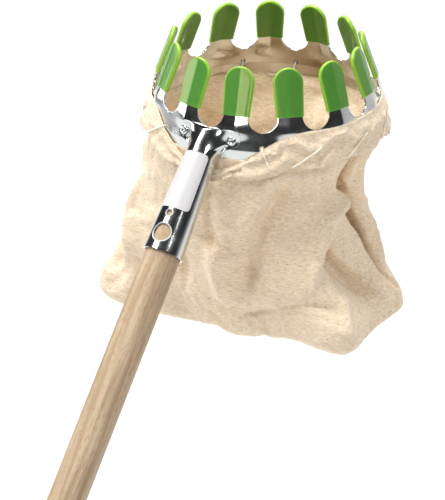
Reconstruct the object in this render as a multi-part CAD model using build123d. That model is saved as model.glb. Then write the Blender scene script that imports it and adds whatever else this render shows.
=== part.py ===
from build123d import *

import os
from math import asin, cos, degrees, pi, radians, sin, sqrt, tan

# Fruit picker: a toothed steel crown with soft caps, a cloth bag laced to it and a wooden pole.
# Millimetres. +Z is the axis of the crown, mouth up. The origin is the centre of the mouth, in the
# plane of the scallop bottoms. The pole leaves towards -Y and down. An azimuth is counted from -Y
# towards +X. A depth is counted down from the mouth plane.

# Crown strip
TINE_COUNT = 13
BAND_RADIUS = 81.0          # outside of the straight lower part
BAND_SHEET = 1.0
BAND_DEPTH = 19.5           # of the lower edge
BEND_DEPTH = 12.3           # bend line between the straight and the leaning part
BAND_LEAN = 13.0            # degrees, inward
ROOT_LENGTH = 12.0          # strip above the mouth plane that keeps the band's lean
SCALLOP_RADIUS = 10.0
BUTT_GAP = 0.8              # between the strip's two ends

# Tines
TINE_LEAN = 20.5            # degrees, inward
TINE_FOLD = 11.0            # degrees, each half folded back from the ridge
TINE_LENGTH = 42.0
TINE_ROOT_WIDTH = 16.4
TINE_HEAD_WIDTH = 18.4
RIDGE_HEIGHT = 2.0          # of the ridge line over the band at the mouth plane
RUN_OUT_LENGTH = 7.0        # over which the ridge dies into the band

# Tine caps
CAP_WALL = 1.1
CAP_BASE = 10.3             # lower edge, along the tine from the mouth plane
CAP_EDGE_RADIUS = 0.9       # of the dipped rim

# Socket bracket
SOCKET_SLOPE = 47.1         # degrees below the mouth plane
SOCKET_SET_BACK = 8.46      # of the socket's axis behind the crown's outside, in the mouth plane
SOCKET_SHEET = 1.2
SOCKET_LENGTH = 96.5        # along the axis from the mouth plane to the socket's mouth
SOCKET_HALF_ANGLE = 2.35    # degrees, taper of the rolled socket
BRACKET_TOP = 0.4           # top edge over the mouth plane
SEAM_GAP = 2.0
BAG_CLEARANCE = 2.0         # from the hem to the open back of the trough
NAIL_HOLE_DIAMETER = 5.0
NAIL_HOLE_SET_BACK = 25.9   # from the socket's mouth
SIGHT_HOLE_DIAMETER = 13.0
SIGHT_HOLE_SET_BACK = 11.9  # from the socket's mouth
EAR_RADIUS = 5.9
FLANK_CLEARANCE = 0.15      # from the rivet heads to the foot of the pressed flanks
FLANK_TOUCH_TOP = 8.0       # degrees round the socket's level section where the flanks meet it
FLANK_TOUCH_LOW = 36.0

# Rivets
RIVET_SPACING = 35.8
RIVET_DEPTH = 6.2
RIVET_SHANK_RADIUS = 2.0
RIVET_HEAD_RADIUS = 3.25
RIVET_HEAD_HEIGHT = 1.4
RIVET_DIMPLE_RADIUS = 1.9
RIVET_DIMPLE_DEPTH = 0.5
RIVET_TAIL_RADIUS = 3.0
RIVET_TAIL_HEIGHT = 0.9
RIVET_CLEARANCE = 0.02
RIVET_TAIL_SEAT = 0.1       # stand-off on the hollow inside of the band

# Label
LABEL_LENGTH = 41.0
LABEL_SET_BACK = 30.0       # from the socket's mouth
LABEL_HALF_ANGLE = 56.0     # degrees of wrap each side of the socket's front
LABEL_THICKNESS = 0.2
LABEL_GLUE = 0.06           # layer between the label and the socket
LABEL_CORNER = 3.0

# Pole
POLE_DIAMETER = 24.0
POLE_LENGTH = 600.0
POLE_TAPER_LENGTH = 43.9    # of the tip that wedges in the socket
POLE_TAPER_SET_BACK = 14.6  # from the socket's mouth to the end of the taper
POLE_FIT = 0.05             # radial clearance of the tapered tip
POLE_SHOULDER_RISE = 0.1    # by which the radius still grows past the taper
POLE_SHOULDER_CLEAR = 4.0   # from the socket's mouth to the full diameter, outside it
POLE_EDGE = 2.0             # chamfer of both ends

# Bag
CLOTH = 1.2                 # two layers with their crease
CLOTH_CLEARANCE = 0.3
HEM_TOP = 0.6               # depth of the hem's top edge
HEM_OVERHANG = 3.5          # of the hem below the band
HEM_DIP = 29.0              # how far the hem's top drops under the socket
HEM_DIP_HALF_ANGLE = 52.0
HEM_DIP_SHARPNESS = 1.3     # power of the drop's cosine
HEM_FRONT_WIDTH = 7.6       # width of the hem under the socket
BAG_TURN = 75.0             # depth at which the bag starts to swing as a whole
BAG_WIDTH = 200.0           # of the base, side to side
BAG_LENGTH = 104.0          # of the base, front to back
BAG_CORNER = 14.0           # corner radius of the base
BAG_EDGE_DEPTH = 151.0      # of the edge round the base
BAG_SAG = 15.0              # of the base below its edge
BAG_FLOOR_INSET = 23.0      # from the edge of the base to its level middle
BAG_WAIST = 5.0             # by which the sides draw in below the ring
BAG_SHIFT = 8.0             # of the base towards the pole

# Lacing
LACE_DIAMETER = 1.2
LACE_HOLE_DIAMETER = 3.6
LACE_HOLE_DEPTH = 10.0
LACE_UNDER = 1.5            # from the band's lower edge down to the cord that goes in under it
LACE_LAST_STITCH = 3.5      # degrees that the last stitch leans the other way
LACE_BEND = 1.3
LACE_LIFT = 0.6             # by which a straight stitch stands off the round hem at its ends
LACE_PIERCE = 0.8           # radial play of the cord in the cloth

# Worked out from the sizes above
PITCH = 360.0 / TINE_COUNT
MOUTH_RADIUS = BAND_RADIUS - BEND_DEPTH * tan(radians(BAND_LEAN))
RIVET_AZIMUTH = degrees(asin(RIVET_SPACING / 2 / (MOUTH_RADIUS + RIVET_DEPTH * tan(radians(BAND_LEAN)))))
HEM_RADIUS = BAND_RADIUS + CLOTH_CLEARANCE + CLOTH
HEM_BOTTOM = BAND_DEPTH + HEM_OVERHANG
HEM_FOOT_SHARE = (HEM_DIP - HEM_BOTTOM - HEM_TOP + HEM_FRONT_WIDTH) / HEM_DIP
POLE_TAPER_END = SOCKET_LENGTH - POLE_TAPER_SET_BACK
POLE_TIP = POLE_TAPER_END - POLE_TAPER_LENGTH

# The socket's axis runs outward and down from the mouth plane.
SOCKET_AXIS = Vector(0, -cos(radians(SOCKET_SLOPE)), -sin(radians(SOCKET_SLOPE)))
SOCKET_PLANE = Plane((0, SOCKET_SET_BACK - MOUTH_RADIUS, 0), x_dir=(1, 0, 0), z_dir=SOCKET_AXIS)
SOCKET_FRONT = Vector(0, -sin(radians(SOCKET_SLOPE)), cos(radians(SOCKET_SLOPE)))


def turned(shape, azimuth):
    """A shape that was made at azimuth 0, turned about the crown's axis."""
    return Rot(0, 0, azimuth) * shape


def facing(lean, offset=0.0, along=0.0):
    """A plane on the crown's outside at azimuth 0: x round the crown, y up the lean, z outward."""
    up = Vector(0, sin(radians(BAND_LEAN)), cos(radians(BAND_LEAN)))
    out = Vector(0, -cos(radians(BAND_LEAN)), sin(radians(BAND_LEAN)))
    origin = Vector(0, -MOUTH_RADIUS, 0) + out * offset + up * along
    return Plane(origin, x_dir=(1, 0, 0), z_dir=(0, -cos(radians(lean)), sin(radians(lean))))


def skin_point(slant, offset):
    """Radius and height of a point off the crown's leaning outside, at a slant length from the mouth."""
    lean = radians(BAND_LEAN)
    return (
        MOUTH_RADIUS - slant * sin(lean) + offset * cos(lean),
        slant * cos(lean) + offset * sin(lean),
    )


def skin_points(offset, bottom, top_slant):
    """Radius and height of the crown's outside, offset outward, from a depth up to a slant length."""
    bend = -BEND_DEPTH + offset * tan(radians(BAND_LEAN) / 2)
    return [(BAND_RADIUS + offset, -bottom), (BAND_RADIUS + offset, bend), skin_point(top_slant, offset)]


def spun(points):
    """A solid of revolution about the crown's axis from radius and height points."""
    face = make_face(Plane.XZ * Polyline(*points, close=True))
    return revolve(face, Axis.Z)


def skin_ring(inner, outer, bottom, top_slant):
    """A ring that follows the crown's outside between two offsets."""
    return spun(skin_points(outer, bottom, top_slant) + skin_points(inner, bottom, top_slant)[::-1])


def inside_of_skin(offset, bottom, top_slant):
    """All the space inside the crown's outside, offset outward."""
    points = skin_points(offset, bottom, top_slant)
    return spun([(0, points[0][1])] + points + [(0, points[-1][1])])


def tine_outline(margin, base):
    """The outline of a tine seen square on, grown by a margin, from a base height up."""
    half_root = TINE_ROOT_WIDTH / 2 + margin
    half_head = TINE_HEAD_WIDTH / 2 + margin
    shoulder = TINE_LENGTH - TINE_HEAD_WIDTH / 2
    sides = Polyline((-half_head, shoulder), (-half_root, base), (half_root, base), (half_head, shoulder))
    head = ThreePointArc((half_head, shoulder), (0, shoulder + half_head), (-half_head, shoulder))
    return make_face([sides, head])


def tine_chevron(grown, base, top):
    """The folded sheet of a tine, grown on both faces, as a straight bar along the tine."""
    flat = facing(TINE_LEAN, RIDGE_HEIGHT)
    across = Plane(flat.origin + flat.y_dir * base, x_dir=(1, 0, 0), z_dir=flat.y_dir)
    fold = radians(TINE_FOLD)
    half = TINE_HEAD_WIDTH
    near = -grown / cos(fold)
    far = (BAND_SHEET + grown) / cos(fold)
    drop = half * tan(fold)
    section = Polyline((0, near), (half, near + drop), (half, far + drop), (0, far),
                       (-half, far + drop), (-half, near + drop), close=True)
    return extrude(across * make_face(section), top - base)


def tine_blank(margin, base):
    """A folded tine grown by a margin all round, from a base height up."""
    outline = facing(TINE_LEAN, RIDGE_HEIGHT) * tine_outline(margin, base)
    return tine_chevron(margin, base, TINE_LENGTH + CAP_WALL) & extrude(outline, TINE_HEAD_WIDTH, both=True)


def make_tine():
    """One folded tine, whose ridge dies into the band; below its root it stays inside the strip."""
    tine = tine_blank(0, -RUN_OUT_LENGTH / 2) - inside_of_skin(-BAND_SHEET, BAND_DEPTH, ROOT_LENGTH)
    slope = (RIDGE_HEIGHT - RUN_OUT_LENGTH * tan(radians(TINE_LEAN - BAND_LEAN))) / RUN_OUT_LENGTH
    reach = 2 * RUN_OUT_LENGTH
    low_corner = skin_point(-reach, -reach * slope)
    high_corner = skin_point(reach, reach * slope)
    far = 2 * BAND_RADIUS
    return tine - spun([low_corner, high_corner, (far, high_corner[1]), (far, low_corner[1])])


def make_scallop():
    """The round-bottomed gap between two tines."""
    height = ROOT_LENGTH + SCALLOP_RADIUS
    gap = Pos(0, SCALLOP_RADIUS) * Circle(SCALLOP_RADIUS)
    gap += Pos(0, SCALLOP_RADIUS + height / 2) * Rectangle(2 * SCALLOP_RADIUS, height)
    return extrude(facing(BAND_LEAN) * gap, SCALLOP_RADIUS, both=True)


def skin_hole(radius, depth):
    """A round cutter square to the leaning band at a depth below the mouth plane, at azimuth 0."""
    plane = facing(BAND_LEAN, along=-depth / cos(radians(BAND_LEAN)))
    return extrude(plane * Circle(radius), SCALLOP_RADIUS, both=True)


def make_rivet_holes():
    """Cutters for the two rivet shanks."""
    hole = skin_hole(RIVET_SHANK_RADIUS + RIVET_CLEARANCE, RIVET_DEPTH)
    return [turned(hole, RIVET_AZIMUTH), turned(hole, -RIVET_AZIMUTH)]


def lace_azimuths():
    """The scallops that carry a lacing hole: all but the one over the strip's butted ends."""
    return [k * PITCH for k in range(1, TINE_COUNT)]


def make_crown_band():
    """The toothed strip, rolled to a ring."""
    band = skin_ring(-BAND_SHEET, 0, BAND_DEPTH, ROOT_LENGTH)
    band -= [turned(make_scallop(), k * PITCH) for k in range(TINE_COUNT)]
    tine = make_tine()
    band += [turned(tine, (k + 0.5) * PITCH) for k in range(TINE_COUNT)]
    band -= [turned(skin_hole(LACE_HOLE_DIAMETER / 2, LACE_HOLE_DEPTH), a) for a in lace_azimuths()]
    band -= make_rivet_holes()
    return band - Pos(0, -BAND_RADIUS, 0) * Box(BUTT_GAP, 2 * SCALLOP_RADIUS, 3 * BAND_DEPTH)


def make_cap(crown_band):
    """A soft cap over the tine at half a pitch, round at the rim and hollowed by the tine itself."""
    block = tine_blank(CAP_WALL, CAP_BASE)
    flat = facing(TINE_LEAN, RIDGE_HEIGHT)
    rim = []
    for edge in block.edges():
        middle = flat.to_local_coords(edge.center())
        beside_ridge = abs(middle.X) > CAP_WALL
        above_base = middle.Y > CAP_BASE + CAP_WALL
        if beside_ridge and above_base and edge.length > 2 * (BAND_SHEET + 2 * CAP_WALL):
            rim.append(edge)
    return turned(fillet(rim, CAP_EDGE_RADIUS), PITCH / 2) - crown_band


def socket_radius(along):
    """Outside radius of the tapered socket at a place along its axis, round the pole's tip."""
    grip = POLE_DIAMETER / 2 - POLE_SHOULDER_RISE + POLE_FIT + SOCKET_SHEET
    return grip + (along - POLE_TAPER_END) * tan(radians(SOCKET_HALF_ANGLE))


def socket_front(along):
    """A plane through the socket's axis that looks at its front, at a place along the axis."""
    return Plane(SOCKET_PLANE.origin + SOCKET_AXIS * along, x_dir=(1, 0, 0), z_dir=SOCKET_FRONT)


def socket_bar(start, end, grown=0.0):
    """A tapered bar on the socket's axis, grown from its outside."""
    points = [(0, start), (socket_radius(start) + grown, start), (socket_radius(end) + grown, end), (0, end)]
    bar = revolve(make_face(Plane.XZ * Polyline(*points, close=True)), Axis.Z)
    return SOCKET_PLANE * bar


def flank_section(height, sunk):
    """Corners of the pressed flank at a height: foot on the ear, touch on the socket, and inside."""
    lean = radians(BAND_LEAN)
    foot_radius = MOUTH_RADIUS - height * tan(lean) + (SOCKET_SHEET - sunk) / cos(lean)
    foot_x = RIVET_SPACING / 2 - RIVET_HEAD_RADIUS - FLANK_CLEARANCE
    foot = (foot_x, -sqrt(foot_radius**2 - foot_x**2))
    slope = radians(SOCKET_SLOPE)
    along = -height / sin(slope)
    half_x = socket_radius(along) - sunk
    half_y = half_x / sin(slope)
    middle = SOCKET_PLANE.origin.Y + height / tan(slope)
    lower = (BRACKET_TOP - height) / (2 * EAR_RADIUS)
    touch = FLANK_TOUCH_TOP + (FLANK_TOUCH_LOW - FLANK_TOUCH_TOP) * lower
    on_socket = (half_x * sin(radians(touch)), middle - half_y * cos(radians(touch)))
    return [foot, on_socket, (0, on_socket[1]), (0, foot[1])]


def make_flank(sunk):
    """The pressed web between the socket's round front and one ear, as a filled wedge."""
    heights = (BRACKET_TOP, BRACKET_TOP - EAR_RADIUS, BRACKET_TOP - 2 * EAR_RADIUS)
    sections = []
    for height in heights:
        corners = Polyline(*flank_section(height, sunk), close=True)
        sections.append(make_face(Plane.XY.offset(height) * corners))
    return loft(sections, ruled=True)


def make_socket_bracket():
    """The pressed bracket: riveted ears, slanted trough and tapered socket."""
    ears = skin_ring(0, SOCKET_SHEET, BAND_DEPTH, 2 * BRACKET_TOP)
    stadium = Pos(0, -RIVET_DEPTH) * SlotCenterToCenter(RIVET_SPACING, 2 * EAR_RADIUS)
    ears &= extrude(Plane.XZ * stadium, 2 * BAND_RADIUS)
    outer = [socket_bar(0, SOCKET_LENGTH), make_flank(0), mirror(make_flank(0), Plane.YZ)]
    inner = [socket_bar(-SCALLOP_RADIUS, SOCKET_LENGTH + SOCKET_SHEET, -SOCKET_SHEET)]
    inner += [make_flank(SOCKET_SHEET), mirror(make_flank(SOCKET_SHEET), Plane.YZ)]
    web = outer[0] + outer[1:]
    web -= inner
    web -= inside_of_skin(0, BAND_DEPTH, ROOT_LENGTH)
    web -= Pos(0, 0, -2 * BAND_DEPTH) * Cylinder(HEM_RADIUS + BAG_CLEARANCE, 2 * BAND_DEPTH)
    web -= Pos(0, 0, BRACKET_TOP + BAND_RADIUS) * Box(4 * BAND_RADIUS, 4 * BAND_RADIUS, 2 * BAND_RADIUS)
    bracket = ears + web
    bracket -= extrude(socket_front(SOCKET_LENGTH) * Rectangle(SEAM_GAP, 2 * SOCKET_LENGTH), -POLE_DIAMETER)
    holes = ((NAIL_HOLE_SET_BACK, NAIL_HOLE_DIAMETER), (SIGHT_HOLE_SET_BACK, SIGHT_HOLE_DIAMETER))
    for set_back, diameter in holes:
        bracket -= extrude(socket_front(SOCKET_LENGTH - set_back) * Circle(diameter / 2), POLE_DIAMETER)
    return bracket - make_rivet_holes()


def make_rivet():
    """A dimpled rivet through an ear and the band, at azimuth 0."""
    seat = SOCKET_SHEET
    tail = -BAND_SHEET - RIVET_TAIL_SEAT
    foot = tail - RIVET_TAIL_HEIGHT
    dome = seat + RIVET_HEAD_HEIGHT
    profile = Polyline(
        (0, foot), (RIVET_TAIL_RADIUS, foot), (RIVET_TAIL_RADIUS, tail),
        (RIVET_SHANK_RADIUS, tail), (RIVET_SHANK_RADIUS, seat), (RIVET_HEAD_RADIUS, seat),
        (RIVET_HEAD_RADIUS, seat + RIVET_HEAD_HEIGHT / 2), (RIVET_DIMPLE_RADIUS, dome),
        (RIVET_DIMPLE_RADIUS / 2, dome - RIVET_DIMPLE_DEPTH), (0, dome - RIVET_DIMPLE_DEPTH), close=True)
    rivet = revolve(make_face(Plane.XZ * profile), Axis.Z)
    return facing(BAND_LEAN, along=-RIVET_DEPTH / cos(radians(BAND_LEAN))) * rivet


def make_label():
    """A paper label that wraps the front of the socket."""
    low = SOCKET_LENGTH - LABEL_SET_BACK
    top = low - LABEL_LENGTH
    sleeve = socket_bar(top, low, LABEL_GLUE + LABEL_THICKNESS) - socket_bar(0, SOCKET_LENGTH, LABEL_GLUE)
    width = 2 * socket_radius(low) * sin(radians(LABEL_HALF_ANGLE))
    sheet = socket_front((top + low) / 2) * RectangleRounded(width, LABEL_LENGTH, LABEL_CORNER)
    return sleeve & extrude(sheet, POLE_DIAMETER)


def make_pole():
    """The round pole, whose tip tapers to fit the socket and eases out to the full diameter."""
    radius = POLE_DIAMETER / 2
    gap = SOCKET_SHEET + POLE_FIT
    edge = POLE_TIP + POLE_EDGE
    end = POLE_TIP + POLE_LENGTH
    points = [(0, POLE_TIP), (socket_radius(POLE_TIP) - gap - POLE_EDGE, POLE_TIP),
              (socket_radius(edge) - gap, edge), (socket_radius(POLE_TAPER_END) - gap, POLE_TAPER_END),
              (radius, SOCKET_LENGTH + POLE_SHOULDER_CLEAR), (radius, end - POLE_EDGE),
              (radius - POLE_EDGE, end), (0, end)]
    pole = revolve(make_face(Plane.XZ * Polyline(*points, close=True)), Axis.Z)
    return SOCKET_PLANE * pole


def hem_drop(azimuth):
    """How far the hem's top drops at an azimuth: deepest under the socket."""
    if abs(azimuth) >= HEM_DIP_HALF_ANGLE:
        return 0.0
    return HEM_DIP * (0.5 + 0.5 * cos(pi * azimuth / HEM_DIP_HALF_ANGLE)) ** HEM_DIP_SHARPNESS


def above_line(level, share):
    """The space above a line round the bag that lies at a level and dips in front by a share of the drop."""
    points_a_side = 8
    reach = 2 * BAND_RADIUS
    azimuths = [HEM_DIP_HALF_ANGLE * k / points_a_side for k in range(-points_a_side, points_a_side + 1)]
    line = [(HEM_RADIUS * sin(radians(a)), level - share * hem_drop(a)) for a in azimuths]
    edge = Spline(*line, tangents=((1, 0), (1, 0)))
    rest = Polyline(line[-1], (reach, level), (reach, reach), (-reach, reach), (-reach, level), line[0])
    front = extrude(Plane.XZ * make_face([edge, rest]), reach)
    back = Pos(0, reach / 2, (level + reach) / 2) * Box(2 * reach, reach, reach - level)
    return front + back


def make_lace_route():
    """Corners of the lacing's route: out through a hole, down over the hem, in under the band, and up."""
    lean = radians(BAND_LEAN)
    room = LACE_DIAMETER
    lift = LACE_DIAMETER + LACE_LIFT
    hole_skin = MOUTH_RADIUS + LACE_HOLE_DEPTH * tan(lean)
    hole_in = hole_skin - BAND_SHEET / cos(lean) - room
    hole_out = hole_skin + (CLOTH_CLEARANCE + CLOTH) / cos(lean) + lift
    low_out = HEM_RADIUS + lift
    low_in = BAND_RADIUS - BAND_SHEET - room

    def at(azimuth, radius, depth):
        return Vector(radius * sin(radians(azimuth)), -radius * cos(radians(azimuth)), -depth)

    low_depth = BAND_DEPTH + LACE_UNDER
    route = []
    for azimuth in reversed(lace_azimuths()):
        low = azimuth - PITCH / 2
        if azimuth == lace_azimuths()[0]:
            low = azimuth + LACE_LAST_STITCH
        route += [at(azimuth, hole_in, LACE_HOLE_DEPTH), at(azimuth, hole_out, LACE_HOLE_DEPTH)]
        route += [at(low, low_out, low_depth), at(low, low_in, low_depth)]
    return route


def make_lacing(route):
    """The cord along its route, rounded at every corner."""
    path = FilletPolyline(*route, radius=LACE_BEND)
    start = Plane(path @ 0, z_dir=path % 0)
    cord = sweep(start * Circle(LACE_DIAMETER / 2), path)
    print("lacing", round(path.length, 1), round(cord.volume / (pi * LACE_DIAMETER**2 / 4 * path.length), 4))
    return cord


def lace_holes(route):
    """Cutters for the cord's passages through the cloth."""
    cutters = []
    for inner, outer in list(zip(route[0::4], route[1::4])) + list(zip(route[3::4], route[2::4])):
        way = (outer - inner).normalized()
        plane = Plane(inner, z_dir=way)
        cutters.append(extrude(plane * Circle(LACE_DIAMETER / 2 + LACE_PIERCE), 2 * (outer - inner).length))
    return cutters


def make_hem(route):
    """The doubled top edge of the bag, laid round the band."""
    deepest = HEM_BOTTOM + HEM_DIP
    top_slant = -HEM_TOP / cos(radians(BAND_LEAN))
    ring = skin_ring(CLOTH_CLEARANCE, CLOTH_CLEARANCE + CLOTH, deepest, top_slant)
    ring &= above_line(-HEM_BOTTOM, HEM_FOOT_SHARE)
    ring -= above_line(HEM_TOP, 1)
    return ring - lace_holes(route)


def bag_sections():
    """Level sections of the bag: depth, half width, half length, corner radius and place in Y."""
    wall_steps = 5
    nearly_round = 0.99
    top = HEM_BOTTOM - CLOTH
    sections = []
    for k in range(wall_steps + 1):
        share = k / wall_steps
        half_x = HEM_RADIUS + (BAG_WIDTH / 2 - HEM_RADIUS) * share**2 - BAG_WAIST * sin(pi * share)
        half_y = HEM_RADIUS + (BAG_LENGTH / 2 - HEM_RADIUS) * share
        corner = nearly_round * min(half_x, half_y) * (1 - share) + BAG_CORNER * share
        sections.append((top + (BAG_EDGE_DEPTH - top) * share, half_x, half_y, corner, -BAG_SHIFT * share))
    for share in (0.55, 1):
        inset = BAG_FLOOR_INSET * (1 - sqrt(1 - share**2))
        depth = BAG_EDGE_DEPTH + BAG_SAG * share
        sections.append((depth, BAG_WIDTH / 2 - inset, BAG_LENGTH / 2 - inset, BAG_CORNER, -BAG_SHIFT))
    return sections


def bag_form(inset):
    """The bag's outside, drawn in by an inset, as a filled form that is open upward when drawn in."""
    levels = bag_sections()
    outlines = []
    for depth, half_x, half_y, corner, middle_y in levels:
        height = -depth
        if depth in (levels[0][0], levels[-1][0]):
            height += inset
        outline = RectangleRounded(2 * (half_x - inset), 2 * (half_y - inset), corner - inset)
        outlines.append(Pos(0, middle_y, height) * outline)
    return loft(outlines, ruled=True)


def make_bag():
    """The bag below the hem: the bending neck, and the pouch that swings."""
    shell = bag_form(0) - bag_form(CLOTH)
    turn = Pos(0, 0, -BAG_TURN) * Box(8 * BAND_RADIUS, 8 * BAND_RADIUS, CLOTH_CLEARANCE)
    hung = shell - above_line(-HEM_BOTTOM - CLOTH_CLEARANCE, HEM_FOOT_SHARE) - turn
    pouch, neck = sorted(hung.solids(), key=lambda solid: solid.center().Z)
    return neck, pouch


os.makedirs("parts", exist_ok=True)
crown = make_crown_band()
export_step(crown, "parts/crown_band.step")
cap = make_cap(crown)
for k in range(TINE_COUNT):
    export_step(turned(cap, k * PITCH), f"parts/tine_cap_{k + 1:02d}.step")
export_step(make_socket_bracket(), "parts/socket_bracket.step")
export_step(turned(make_rivet(), -RIVET_AZIMUTH), "parts/rivet_left.step")
export_step(turned(make_rivet(), RIVET_AZIMUTH), "parts/rivet_right.step")
export_step(make_label(), "parts/socket_label.step")
export_step(make_pole(), "parts/pole.step")
lace_route = make_lace_route()
export_step(make_lacing(lace_route), "parts/lacing_cord.step")
export_step(make_hem(lace_route), "parts/bag_hem.step")
bag_neck, bag_body = make_bag()
export_step(bag_neck, "parts/bag_neck.step")
export_step(bag_body, "parts/bag_body.step")
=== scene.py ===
import math
import bmesh
import bpy
from mathutils import Matrix, Vector, noise
from mathutils.bvhtree import BVHTree


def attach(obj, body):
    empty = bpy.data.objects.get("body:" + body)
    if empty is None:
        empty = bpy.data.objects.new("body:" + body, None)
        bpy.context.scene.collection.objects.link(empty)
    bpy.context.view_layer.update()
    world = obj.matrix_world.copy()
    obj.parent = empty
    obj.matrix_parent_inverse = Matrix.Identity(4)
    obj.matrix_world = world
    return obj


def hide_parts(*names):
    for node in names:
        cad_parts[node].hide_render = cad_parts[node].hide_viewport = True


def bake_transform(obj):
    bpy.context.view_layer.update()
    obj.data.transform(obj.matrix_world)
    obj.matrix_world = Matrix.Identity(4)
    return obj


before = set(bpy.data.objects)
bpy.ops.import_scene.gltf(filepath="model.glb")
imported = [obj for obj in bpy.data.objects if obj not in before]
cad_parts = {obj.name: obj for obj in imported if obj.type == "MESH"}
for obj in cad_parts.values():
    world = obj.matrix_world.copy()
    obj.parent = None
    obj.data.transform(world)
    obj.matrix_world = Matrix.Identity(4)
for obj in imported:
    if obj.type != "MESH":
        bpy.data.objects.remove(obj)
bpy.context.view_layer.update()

# Crown. One strip of zinc-plated steel sheet, punched with round scallops, folded along every tine and
# rolled to a ring whose ends butt behind the socket. Bright zinc mirrors the studio with a slight wave.
# Sizes are in millimetres; an azimuth is counted from -Y towards +X, a slant up the lean from the mouth.
TINES = 13
PITCH = math.tau / TINES
BAND_RADIUS = 81.0
BAND_DEPTH = 19.5
BEND_DEPTH = 12.3
BAND_SHEET = 1.0
BAND_LEAN = math.radians(13.0)
MOUTH_RADIUS = BAND_RADIUS - BEND_DEPTH * math.tan(BAND_LEAN)
SCALLOP_RADIUS = 10.0
ROOT_LENGTH = 12.0
BUTT_GAP = 0.8
TINE_LEAN = math.radians(20.5)
TINE_FOLD = math.radians(11.0)
TINE_LENGTH = 42.0
TINE_ROOT = 8.3
TINE_HEAD = 9.2
RIDGE_HEIGHT = 2.0
RIDGE_ROUND = 0.5
RUN_OUT = 7.0
LACE_HOLE_RADIUS = 1.8
LACE_HOLE_DEPTH = 10.0
CROWN_EDGE = 0.22
BEND_ROUND = 0.6
BEVEL_ANGLE = math.radians(50)
SHARP_ANGLE = math.radians(38)
MILLIMETRE = 0.001


def ease(share):
    """A smooth step from 0 to 1."""
    share = min(max(share, 0.0), 1.0)
    return share * share * (3 - 2 * share)


def between(low, high, share):
    """The value at a share of the way from low to high."""
    return low + (high - low) * share


def ring_point(azimuth, radius, depth):
    """A point by azimuth, radius and depth."""
    return Vector((radius * math.sin(azimuth), -radius * math.cos(azimuth), -depth))


def cone_point(azimuth, slant):
    """A point on the band's outside, straight below the bend and leaning inward above it."""
    below = min(slant + BEND_DEPTH / math.cos(BAND_LEAN), 0.0)
    up = slant - below
    height = up * math.cos(BAND_LEAN) + below
    return ring_point(azimuth, MOUTH_RADIUS - up * math.sin(BAND_LEAN), -height)


def crown_point(across, slant, offset=0.0):
    """A point off the crown's outside on the sector whose tine stands at azimuth 0."""
    flat = ease(slant / ROOT_LENGTH)
    azimuth = across / (MOUTH_RADIUS - max(slant, -BEND_DEPTH) * math.sin(BAND_LEAN))
    plane = Vector((across, slant * math.sin(TINE_LEAN) - MOUTH_RADIUS, slant * math.cos(TINE_LEAN)))
    lean = between(BAND_LEAN, TINE_LEAN, flat)
    turn = azimuth * (1 - flat)
    out = Vector((math.sin(turn) * math.cos(lean), -math.cos(turn) * math.cos(lean), math.sin(lean)))
    chevron = RIDGE_HEIGHT - math.hypot(across, RIDGE_ROUND) * math.tan(TINE_FOLD)
    ridge = (chevron + math.hypot(chevron, RIDGE_ROUND)) / 2 * ease((slant + RUN_OUT) / RUN_OUT)
    return cone_point(azimuth, slant).lerp(plane, flat) + out * (ridge + offset)


def half_width(slant):
    """Half of the strip's width round the ring at a slant: full pitch, scallop arc, tine and round head."""
    half_pitch = PITCH / 2 * (MOUTH_RADIUS - max(slant, -BEND_DEPTH) * math.sin(BAND_LEAN))
    shoulder = TINE_LENGTH - TINE_HEAD
    if slant <= 0:
        return half_pitch
    if slant <= SCALLOP_RADIUS:
        return half_pitch - math.sqrt(SCALLOP_RADIUS**2 - (SCALLOP_RADIUS - slant) ** 2)
    if slant <= shoulder:
        return between(TINE_ROOT, TINE_HEAD, (slant - SCALLOP_RADIUS) / (shoulder - SCALLOP_RADIUS))
    return math.sqrt(max(TINE_HEAD**2 - (slant - shoulder) ** 2, 0.0))


def mesh_from(name, bm):
    """A mesh made from a bmesh, which is freed."""
    mesh = bpy.data.meshes.new(name)
    bm.to_mesh(mesh)
    bm.free()
    return mesh


def new_object(name, data):
    """An object at the origin, linked to the scene."""
    made = bpy.data.objects.new(name, data)
    bpy.context.scene.collection.objects.link(made)
    return made


def smooth(mesh):
    """Smooth faces, with sharp edges where they meet at an angle."""
    mesh.shade_smooth()
    mesh.set_sharp_from_angle(angle=SHARP_ANGLE)


def new_piece(name, bm, material, body, *nodes):
    """A finished piece from a bmesh in millimetres: smooth faces with sharp edges, riding on its body."""
    bmesh.ops.scale(bm, vec=Vector((1, 1, 1)) * MILLIMETRE, verts=bm.verts)
    piece = new_object(name, mesh_from(name, bm))
    smooth(piece.data)
    piece.data.materials.append(material)
    if body:
        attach(piece, body)
    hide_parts(*nodes)
    return piece


def baked(piece):
    """A copy of a piece's mesh with its modifiers applied."""
    graph = bpy.context.evaluated_depsgraph_get()
    return bpy.data.meshes.new_from_object(piece.evaluated_get(graph))


def settle(piece):
    """Applies the modifiers of a piece to its mesh."""
    done = baked(piece)
    piece.modifiers.clear()
    piece.data = done


def give_sheet(piece, thickness, edge_width):
    """Thickens a piece inward to a sheet and rounds its edges."""
    wall = piece.modifiers.new("sheet", "SOLIDIFY")
    wall.thickness = thickness * MILLIMETRE
    wall.offset = -1
    edge = piece.modifiers.new("edge", "BEVEL")
    edge.width = edge_width * MILLIMETRE
    edge.segments = 2
    edge.limit_method = "ANGLE"
    edge.angle_limit = BEVEL_ANGLE


def colour(code):
    """An sRGB hex colour as linear RGBA."""
    parts = [int(code[k:k + 2], 16) / 255 for k in (0, 2, 4)]
    return [c / 12.92 if c <= 0.04045 else ((c + 0.055) / 1.055) ** 2.4 for c in parts] + [1.0]


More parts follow.
